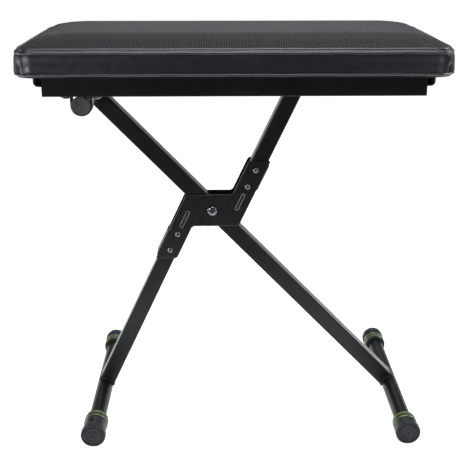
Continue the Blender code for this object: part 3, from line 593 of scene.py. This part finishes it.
def sewn_line(cover_tree, height, radius, sink, waver, phase):
    """A rolled edge of vinyl that follows the cover round at one height, flatter at its ends.

    Two waves, 10 and 4 cm long, let it waver as a sewn edge does.
    """
    reached = []
    for place, out, along in round_the_seat(520):
        wave = math.sin(along * 61 + phase) + 0.7 * math.sin(along * 143 + 2 * phase)
        z = height + waver * wave
        hit, _, _, _ = cover_tree.ray_cast(Vector((place.x, place.y, z)) + out * 0.03, -out)
        reached.append((hit if hit else Vector((place.x, place.y, z)), out))
    count = len(reached)
    line = []
    for index, (_, out) in enumerate(reached):
        near = [reached[(index + shift) % count][0] for shift in (-3, -2, -1, 0, 1, 2, 3)]
        middle = sum(near, Vector()) / len(near)
        proud = radius - sink - 1.5 * MM * abs(out.x) ** 3
        line.append(Vector((middle.x, middle.y, reached[index][0].z)) + out * proud)
    return bead(line, radius)


def seat_seams(cover):
    """The ridges of the top seam, the tuck between them, the hem and the cover's dull foot."""
    shape = bmesh.new()
    shape.from_mesh(cover.data)
    tree = BVHTree.FromBMesh(shape)
    shape.free()
    between = (SEAM_HEIGHTS[0] + SEAM_HEIGHTS[1]) / 2
    # Height above the floor, then radius, sink and waver in mm, and the phase of the waver.
    for name, height, radius, sink, waver, phase, vinyl in (
        ("seat_seam_upper", SEAM_HEIGHTS[0] + 0.7 * MM, 2.1, 1.3, 0.10, 0.4, ROLLED_VINYL),
        ("seat_seam_lower", SEAM_HEIGHTS[1] - 0.9 * MM, 2.4, 1.5, 0.16, 1.9, ROLLED_VINYL),
        ("seat_seam_valley", between, 1.6, 0.7, 0.1, 0.9, ROLLED_VINYL),
        ("seat_hem", HEM_HEIGHT + 2.8 * MM, 1.8, 0.6, 0.16, 3.1, ROLLED_VINYL),
        ("seat_cover_foot", HEM_HEIGHT + 0.2 * MM, 1.9, 1.1, 0.10, 5.0, TUCKED_VINYL),
    ):
        line = sewn_line(tree, height, radius * MM, sink * MM, waver * MM, phase)
        dress(line, name, "seat", vinyl)


cover = seat_cover()
seat_seams(cover)


# Feet -----------------------------------------------------------------------------------


def cap_profile(front, extra):
    """Places from the outer face to the open end of a foot cap, its sleeve longer by extra mm."""
    out = -1 if front else 1
    # Depth behind the cap's face and radius, in mm: rings on the face, rim, sleeve, two grooves.
    steps = [
        (1.6, 0.3), (1.6, 2.8), (0.5, 3.3), (0.5, 6.0), (1.5, 6.6), (1.5, 9.6), (0.6, 10.2),
        (0.6, 12.6), (1.8, 13.3), (1.8, 15.2), (0.4, 15.9), (0.0, 16.5), (0.0, 17.4),
        (0.3, 18.2), (0.9, 18.7), (9.6, 18.7), (10.2, 18.3), (10.6, 17.3), (21.6, 17.2),
        (21.9, 16.5), (25.2, 16.5), (25.4, 17.2), (31.2, 17.2), (31.4, 16.5), (34.6, 16.5),
        (34.9, 17.2), (38.4, 17.2), (39.0, 16.6), (39.0, 13.1), (34.0, 13.0),
    ]
    longer = [(d + extra if d > 15 else d, r) for d, r in steps]
    return [(out * (FOOT_REACH - d * MM), r * MM) for d, r in longer]


def foot_cap(name, body, place, front, extra):
    """A moulded cap, cut flat where it stands on the floor, with a blind hole if in front."""
    cap = lathe(place, cap_profile(front, extra / MM), 72)
    edit(cap)
    bpy.ops.mesh.select_all(action="SELECT")
    bpy.ops.mesh.bisect(plane_co=(0, 0, 0), plane_no=(0, 0, -1), use_fill=True, clear_outer=True)
    settle(cap, 32)
    if front and extra:
        blind_hole(cap, place, -14, FOOT_REACH - 21 * MM)
    elif front:
        blind_hole(cap, place, 32, FOOT_REACH - 14 * MM)
    return dress(cap, name + "_look", body, CAP_PLASTIC, [name])


def blind_hole(cap, place, degrees, distance):
    """A small blind hole in the sleeve of a cap, turned by degrees from upright."""
    lean = math.radians(degrees)
    way = Vector((math.sin(lean), 0, math.cos(lean)))
    all_off()
    bpy.ops.mesh.primitive_cylinder_add(
        vertices=24,
        radius=3.6 * MM,
        depth=7 * MM,
        location=Vector((place.x, -distance, place.z)) + way * 16.5 * MM,
        rotation=(0, lean, 0),
    )
    cut_out(cap, bpy.context.object)


def foot_ring(name, body, place, middle, front):
    """A rubber ring with a rounded crest, stretched into a groove of a cap."""
    out = -1 if front else 1
    y = out * (FOOT_REACH - middle)
    half, low, high = 2.0 * MM, 16.4 * MM, 18.2 * MM
    profile = [
        (y - half, low), (y - half, high - 0.8 * MM), (y - 0.75 * half, high - 0.25 * MM),
        (y - 0.35 * half, high), (y + 0.35 * half, high), (y + 0.75 * half, high - 0.25 * MM),
        (y + half, high - 0.8 * MM), (y + half, low), (y - half, low),
    ]
    ring = lathe(place, profile, 72)
    settle(ring, 50)
    return dress(ring, name + "_look", body, RING_RUBBER, [name])


for side, body, place in (("left", "short_leg", LEFT_FOOT), ("right", "long_leg", RIGHT_FOOT)):
    for end in ("front", "rear"):
        extra = LONG_CAP_EXTRA if (side, end) == ("left", "front") else 0
        foot_cap(f"{side}_{end}_foot_cap", body, place, end == "front", extra)
        for number, middle in ((1, 23.5 * MM + extra), (2, 33.0 * MM + extra)):
            foot_ring(f"{side}_{end}_foot_ring_{number}", body, place, middle, end == "front")
    tube = lathe(place, [(-FOOT_TUBE_REACH, TUBE_RADIUS), (FOOT_TUBE_REACH, TUBE_RADIUS)])
    dress(tube, f"{side}_foot_tube_look", body, FOOT_PAINT, [f"{side}_foot_tube"])


# Frame ----------------------------------------------------------------------------------


def button_bolt(node, body, shank, head, rise, upright=False):
    """A button-head screw with a hexagon socket, its head towards the front or downwards."""
    low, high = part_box(node)
    centre = (low + high) / 2
    tip, end = (low.z, high.z) if upright else (low.y, high.y)
    shoulder = tip + rise
    dome = [
        (shoulder - rise * (0.30 + 0.70 * math.sin(angle)), head * math.cos(angle))
        for angle in (math.radians(degrees) for degrees in range(0, 76, 15))
    ]
    profile = [(end, 0.4 * MM), (end, shank - 0.4 * MM), (end - 0.4 * MM, shank)]
    profile += [(shoulder, shank), (shoulder, head)] + dome + [(tip, 0.3 * MM)]
    bolt = lathe(centre, profile, 48, upright)
    socket_radius, socket_depth = head * 0.46, rise * 0.75
    all_off()
    place = Vector((centre.x, centre.y, tip)) if upright else Vector((centre.x, tip, centre.z))
    bpy.ops.mesh.primitive_cylinder_add(
        vertices=6,
        radius=socket_radius,
        depth=2 * socket_depth,
        location=place,
        rotation=(0, 0, 0) if upright else (math.pi / 2, 0, 0),
    )
    cut_out(bolt, bpy.context.object)
    return dress(bolt, node + "_look", body, BOLT_STEEL, [node])


for half in ("upper", "lower"):
    for number in (1, 2):
        button_bolt(f"plate_{half}_{number}_bolt", "short_leg", 2.5 * MM, 4.4 * MM, 2.6 * MM)
button_bolt("pivot_bolt", "short_leg", 4.0 * MM, 8.0 * MM, 4.2 * MM)
for end in ("front", "rear"):
    for number in (1, 2):
        button_bolt(f"strap_bolt_{end}_{number}", "seat", 2.5 * MM, 5.5 * MM, 3.1 * MM, True)


def hinge_plug(node, side):
    """The plug in an end of the hinge bar: raised rim, dished face with a small gate mark."""
    low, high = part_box(node)
    face = low.y if side < 0 else high.y
    steps = [
        (1.3, 0.3), (1.3, 1.4), (0.9, 1.8), (0.9, 8.6), (0.6, 10.2), (0.0, 11.2), (0.0, 12.9),
        (0.3, 13.5), (0.8, 13.9), (3.2, 13.9), (3.2, 10.8), (17.0, 10.8),
    ]
    profile = [(face - side * d * MM, r * MM) for d, r in steps]
    plug = lathe((low + high) / 2, profile)
    return dress(plug, node + "_look", "long_leg", PLUG_PLASTIC, [node])


hinge_plug("hinge_bar_plug_front", -1)
hinge_plug("hinge_bar_plug_rear", 1)

for node, body, radius in (
    ("hinge_bar", "long_leg", TUBE_RADIUS),
    ("lock_bar", "short_leg", LOCK_RADIUS),
):
    low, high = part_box(node)
    edge = 0.5 * MM
    profile = [
        (low.y, radius - 1.2 * MM), (low.y, radius - edge), (low.y + edge, radius),
        (high.y - edge, radius), (high.y, radius - edge), (high.y, radius - 1.2 * MM),
    ]
    bar = lathe((low + high) / 2, profile)
    dress(bar, node + "_look", body, LEG_PAINT, [node])


def end_weld(name, body, foot, direction):
    """The rippled weld bead where a leg's end meets a round cross tube."""
    side = Vector((direction.z, 0, -direction.x))
    half, deep = LEG_WIDTH / 2 - 0.6 * MM, LEG_DEPTH / 2
    lift = TUBE_RADIUS + 0.5 * MM
    flank = 0.62 * lift
    points = []
    for y_side, order in ((-1, 1), (1, -1)):
        for step in range(-20, 21):
            across = order * half * step / 20
            up = math.sqrt(max(lift * lift - across * across, flank ** 2))
            ripple = 0.25 * MM * math.sin(step * 2.1)
            place = foot + side * across + direction * (up + ripple)
            points.append(Vector((place.x, y_side * deep, place.z)))
        for step in range(1, 16):
            y = y_side * deep * (1 - 2 * step / 16)
            up = flank + 0.2 * MM * math.sin(step * 2.4)
            place = foot + side * (order * half) + direction * up
            points.append(Vector((place.x, y, place.z)))
    weld = bead(points, 1.7 * MM)
    return dress(weld, name, body, LEG_PAINT)


LONG_WAY = (HINGE - RIGHT_FOOT).normalized()
SHORT_WAY = Vector((math.sin(SHORT_LEAN), 0, math.cos(SHORT_LEAN)))
end_weld("right_foot_weld", "long_leg", RIGHT_FOOT, LONG_WAY)
end_weld("hinge_bar_weld", "long_leg", HINGE, -LONG_WAY)
end_weld("left_foot_weld", "short_leg", LEFT_FOOT, SHORT_WAY)

# The ring of weld where the lock bar passes through each side of the short leg.
for side, end in ((-1, "front"), (1, "rear")):
    all_off()
    bpy.ops.mesh.primitive_torus_add(
        major_radius=6.5 * MM,
        minor_radius=1.2 * MM,
        major_segments=48,
        minor_segments=10,
        location=(LOCK.x, side * LEG_DEPTH / 2, LOCK.z),
        rotation=(math.pi / 2, 0, 0),
    )
    ring = bpy.context.object
    edit(ring)
    bpy.ops.transform.vertex_random(offset=0.15 * MM, seed=7)
    settle(ring, 60)
    dress(ring, f"lock_bar_weld_{end}", "short_leg", LEG_PAINT)

for node, body in (
    ("long_leg_tube", "long_leg"),
    ("short_leg_upper_tube", "short_leg"),
    ("short_leg_lower_tube", "short_leg"),
):
    leg = solid_copy(node, 0.3 * MM, 1, 55, 50)
    dress(leg, node + "_look", body, LEG_PAINT, [node])


# The pivot plates. Both halves of the short leg lie this far to either side of the pivot.
TUBE_OFFSET = 33.5 * MM
ACROSS_WAY = Vector((SHORT_WAY.z, 0, -SHORT_WAY.x))
PLATE_SHEET = 2.5 * MM
PLATE_INNER = LEG_DEPTH / 2 + 0.3 * MM
PLATE_OUTER = PLATE_INNER + PLATE_SHEET
# The outer and inner edges of a plate's arm, across from the pivot, then the heights above the
# pivot of its middle's upper edge and of its arm's end.
PLATE_EDGE = TUBE_OFFSET + LEG_WIDTH / 2 + 2.8 * MM
ARM_INSIDE = 17.5 * MM
MIDDLE_TOP = 26 * MM
ARM_TOP = 80 * MM


def on_plate(across, along, y=0.0):
    """A place at distances across and along the short leg from the pivot."""
    place = PIVOT + ACROSS_WAY * across + SHORT_WAY * along
    return Vector((place.x, y, place.z))


def plate_sheet(side):
    """The Z-shaped sheet: its outline cut with rounded corners, its outer rim pressed round."""
    half = [
        (PLATE_EDGE, ARM_TOP), (ARM_INSIDE, ARM_TOP),
        (ARM_INSIDE, MIDDLE_TOP), (-PLATE_EDGE, MIDDLE_TOP),
    ]
    outline = half + [(-across, -height) for across, height in half]
    all_off()
    # Only the eight corners of this circle matter. They are put on the outline.
    bpy.ops.mesh.primitive_circle_add(vertices=8, radius=0.05, fill_type="NGON")
    sheet = bpy.context.object
    for corner, (across, height) in zip(sheet.data.vertices, outline):
        along = (height - across * ACROSS_WAY.z) / SHORT_WAY.z
        corner.co = on_plate(across, along, side * PLATE_INNER)
    edit(sheet)
    bpy.ops.mesh.select_all(action="SELECT")
    thick = (0, side * PLATE_SHEET, 0)
    bpy.ops.mesh.extrude_region_move(TRANSFORM_OT_translate={"value": thick})
    pick("EDGE", lambda edge: abs(edge.verts[0].co.y - edge.verts[1].co.y) > MM)
    bpy.ops.mesh.bevel(offset=4 * MM, segments=5, affect="EDGES")
    outer = PLATE_OUTER - 0.1 * MM
    pick("EDGE", lambda edge: all(abs(corner.co.y) > outer for corner in edge.verts))
    bpy.ops.mesh.bevel(offset=1.7 * MM, segments=4, affect="EDGES")
    bpy.ops.mesh.select_all(action="SELECT")
    bpy.ops.mesh.normals_make_consistent(inside=False)
    return settle(sheet, 40)


def plate_lip(side, turn):
    """A lip bent back over the tube, a little prouder than the sheet, its ends drawn in."""
    wide, deep, long = 4.0 * MM, 10.6 * MM, 48 * MM
    rim, middle = PLATE_EDGE + 1.3 * MM, 82 * MM
    y = side * (PLATE_OUTER - 0.35 * MM - deep / 2)
    all_off()
    bpy.ops.mesh.primitive_cube_add(
        size=1,
        location=on_plate(turn * (rim - wide / 2), turn * middle, y),
        rotation=(0, SHORT_LEAN, 0),
    )
    lip = bpy.context.object
    lip.scale = (wide, deep, long)
    bpy.ops.object.transform_apply(location=False, rotation=False, scale=True)
    edit(lip)

    def outer_end(edge):
        one, other = (corner.co for corner in edge.verts)
        return one.x * turn > 0 and other.x * turn > 0 and one.z * other.z > 0

    def outer_face(edge):
        return all(corner.co.x * turn > 0 and corner.co.y * side > 0 for corner in edge.verts)

    pick("EDGE", outer_end)
    bpy.ops.mesh.bevel(offset=3 * MM, segments=1, affect="EDGES")
    pick("EDGE", outer_face)
    bpy.ops.mesh.bevel(offset=1.8 * MM, segments=4, affect="EDGES")
    return settle(lip, 40)


def plate_rib(side, turn):
    """The rounded rim of the oblong rib pressed into the sheet, painted light grey as a painted
    highlight.
    """
    half, near, far = 2.4 * MM, 19.4 * MM, 43.6 * MM
    y = side * (PLATE_OUTER - 0.1 * MM)
    points = []
    for middle, start in ((far, 0), (near, 180)):
        for step in range(13):
            angle = math.radians(start + 15 * step)
            across = TUBE_OFFSET + half * math.cos(angle)
            along = middle + half * math.sin(angle)
            points.append(on_plate(turn * across, turn * along, y))
    return bead(points, 0.9 * MM, 4)


for side, end in ((-1, "front"), (1, "rear")):
    sheet = plate_sheet(side)
    for turn, half in ((1, "upper"), (-1, "lower")):
        lip = plate_lip(side, turn)
        take(sheet)
        lip.select_set(True)
        bpy.ops.object.join()
        rib = plate_rib(side, turn)
        dress(rib, f"pivot_plate_{end}_rib_{half}", "short_leg", RIB_RIM_PAINTED_HIGHLIGHT)
    node = f"pivot_plate_{end}"
    keep_flats(sheet)
    dress(sheet, node + "_look", "short_leg", PLATE_PAINT, [node])

for node, finish in (
    ("rail_front", RAIL_PAINT),
    ("rail_rear", RAIL_PAINT),
    ("end_bar_left", END_BAR_PAINTED_LIGHT),
    ("end_bar_right", END_BAR_PAINTED_LIGHT),
    ("hinge_strap_front", LEG_PAINT),
    ("hinge_strap_rear", LEG_PAINT),
    ("notch_plate_front", LEG_PAINT),
    ("notch_plate_rear", LEG_PAINT),
):
    dress(solid_copy(node), node + "_look", "seat", finish, [node])

for node in (
    "pivot_nut",
    "plate_upper_1_nut",
    "plate_upper_2_nut",
    "plate_lower_1_nut",
    "plate_lower_2_nut",
):
    nut = solid_copy(node, 0.25 * MM)
    dress(nut, node + "_look", "short_leg", BOLT_STEEL, [node])


# Finishes of the solids that show as they are.
FINISHES = {
    "vinyl": PLAIN_VINYL,
    "plywood": BOARD_WOOD,
    "black_paint": LEG_PAINT,
    "black_plastic": CAP_PLASTIC,
    "grey_plastic": PLUG_PLASTIC,
    "green_rubber": RING_RUBBER,
    "nylon": BUSH_NYLON,
    "black_zinc": BOLT_STEEL,
}
for subpart in frame["record"]["subparts"]:
    solid = frame["nodes"][subpart["node"]]
    solid.data.materials.clear()
    solid.data.materials.append(FINISHES[subpart["material_slot"]])


# Studio ---------------------------------------------------------------------------------


def floor():
    """A wide pale floor that shows white where nothing shades it.

    Ahead of the bench the white paper ends, which only reflections show. The black paint and
    vinyl mirror that darker floor, and it keeps their fronts black.
    """
    all_off()
    bpy.ops.mesh.primitive_plane_add(size=40, location=(0, 0, 0))
    ground = bpy.context.object
    ground.name = "floor"
    material, tree, where = finish_named("matt_white_paper")
    path = add(tree, "LightPath").outputs
    camera_ray, glossy_ray = path["Is Camera Ray"], path["Is Glossy Ray"]
    seen = add(tree, "Math", {0: camera_ray, 1: glossy_ray}, operation="MAXIMUM")
    seen = add(tree, "Math", {0: seen, 1: path["Is Transmission Ray"]}, operation="MAXIMUM")
    depth = add(tree, "SeparateXYZ", {0: where}).outputs["Y"]
    papered = add(tree, "MapRange", {0: depth, 1: -0.75, 2: -0.40})
    papered = add(tree, "Math", {0: papered, 1: camera_ray}, operation="MAXIMUM")
    fibres = add(tree, "TexNoise", {"Vector": where, "Scale": 1 / 0.4, "Detail": 2.0})
    dark, light = colour("#d6d6d6"), colour("#dadada")
    white = add(tree, "Mix", {0: fibres, 6: dark, 7: light}, data_type="RGBA")
    tone = add(tree, "Mix", {0: papered, 6: colour("#4a4a4a"), 7: white}, data_type="RGBA")
    paper = add(tree, "BsdfDiffuse", {"Color": tone})
    bright = add(tree, "MapRange", {0: papered, 3: 0.14, 4: 0.82})
    bright = add(tree, "Math", {0: seen, 1: bright}, operation="MULTIPLY")
    glow = add(tree, "Emission", {"Color": (1, 1, 1, 1), "Strength": bright})
    both = add(tree, "AddShader", {0: paper, 1: glow})
    add(tree, "OutputMaterial", {"Surface": both})
    ground.data.materials.append(material)


def soft_light(name, place, towards, width, height, power):
    """A softbox at a place, turned towards a point."""
    lamp = bpy.data.lights.new(name, "AREA")
    lamp.shape = "RECTANGLE"
    lamp.size, lamp.size_y = width, height
    lamp.energy = power
    holder = bpy.data.objects.new(name, lamp)
    holder.location = place
    holder.rotation_euler = (Vector(towards) - Vector(place)).to_track_quat("-Z", "Y").to_euler()
    bpy.context.scene.collection.objects.link(holder)


def studio():
    """White paper behind the bench, a darker room above, beside and before it, six soft lamps."""
    world = bpy.data.worlds.new("studio")
    bpy.context.scene.world = world
    world.use_nodes = True
    tree = world.node_tree
    tree.nodes.clear()
    path = add(tree, "LightPath").outputs
    camera_ray, glossy_ray = path["Is Camera Ray"], path["Is Glossy Ray"]
    seen = add(tree, "Math", {0: camera_ray, 1: path["Is Transmission Ray"]}, operation="MAXIMUM")
    towards = add(tree, "TexCoord").outputs["Generated"]
    right, back, up = add(tree, "SeparateXYZ", {0: towards}).outputs
    # What gloss mirrors: white behind, dark before and dimmer above, with a flag at each side.
    room = add(tree, "MapRange", {0: back, 1: 0.1, 2: 0.85, 3: 0.10, 4: 1.0})
    dimmer = add(tree, "MapRange", {0: up, 1: 0.30, 2: 0.60, 3: 1.0, 4: 0.40})
    room = add(tree, "Math", {0: room, 1: dimmer}, operation="MULTIPLY")
    sideways = add(tree, "Math", {0: right}, operation="ABSOLUTE")
    flags = add(tree, "MapRange", {0: sideways, 1: 0.12, 2: 0.30, 3: 0.0, 4: 0.85})
    raised = add(tree, "MapRange", {0: up, 1: 0.03, 2: 0.10})
    flags = add(tree, "Math", {0: flags, 1: raised}, operation="MULTIPLY")
    past_flags = add(tree, "Math", {0: 1.0, 1: flags}, operation="SUBTRACT")
    room = add(tree, "Math", {0: room, 1: past_flags}, operation="MULTIPLY")
    mirrored = add(tree, "Math", {0: glossy_ray, 1: room}, operation="MULTIPLY")
    shown = add(tree, "Math", {0: seen, 1: mirrored}, operation="MAXIMUM")
    # Matt surfaces get a weak even light from it.
    either = add(tree, "Math", {0: seen, 1: glossy_ray}, operation="MAXIMUM")
    matt = add(tree, "Math", {0: 1.0, 1: either}, operation="SUBTRACT")
    matt = add(tree, "Math", {0: matt, 1: 0.25}, operation="MULTIPLY")
    strength = add(tree, "Math", {0: shown, 1: matt}, operation="ADD")
    paper = add(tree, "Background", {"Color": (1, 1, 1, 1), "Strength": strength})
    add(tree, "OutputWorld", {"Surface": paper})
    soft_light("overhead_softbox", (0.1, 0.1, 2.3), (0, 0, 0.3), 1.6, 1.8, 34)
    soft_light("upper_front_softbox", (0.0, -1.5, 2.0), (0, 0, 0.5), 1.5, 0.5, 12)
    soft_light("left_bank", (-1.9, -0.1, 0.45), (0, 0, 0.35), 0.9, 0.25, 9)
    soft_light("right_bank", (1.9, 0.0, 1.6), (0, 0, 0.35), 1.2, 0.6, 30)
    soft_light("left_softbox", (-1.25, -1.6, 0.70), (-0.3, -0.1, 0.58), 0.6, 0.3, 12)
    soft_light("right_softbox", (1.05, -1.7, 0.68), (0.3, -0.1, 0.58), 0.2, 0.25, 3)


def camera():
    """The view that fits the photograph: a long lens, looking 18.3 degrees down."""
    eye = bpy.data.cameras.new("camera")
    eye.lens = 71.51
    eye.sensor_width = 36
    eye.clip_end = 100
    holder = bpy.data.objects.new("camera", eye)
    holder.location = (-0.02325, -1.43173, 0.75171)
    holder.rotation_euler = Euler((math.radians(71.714), 0, math.radians(-1.0596)))
    bpy.context.scene.collection.objects.link(holder)
    bpy.context.scene.camera = holder


floor()
studio()
camera()
bpy.context.scene.view_settings.view_transform = "Standard"
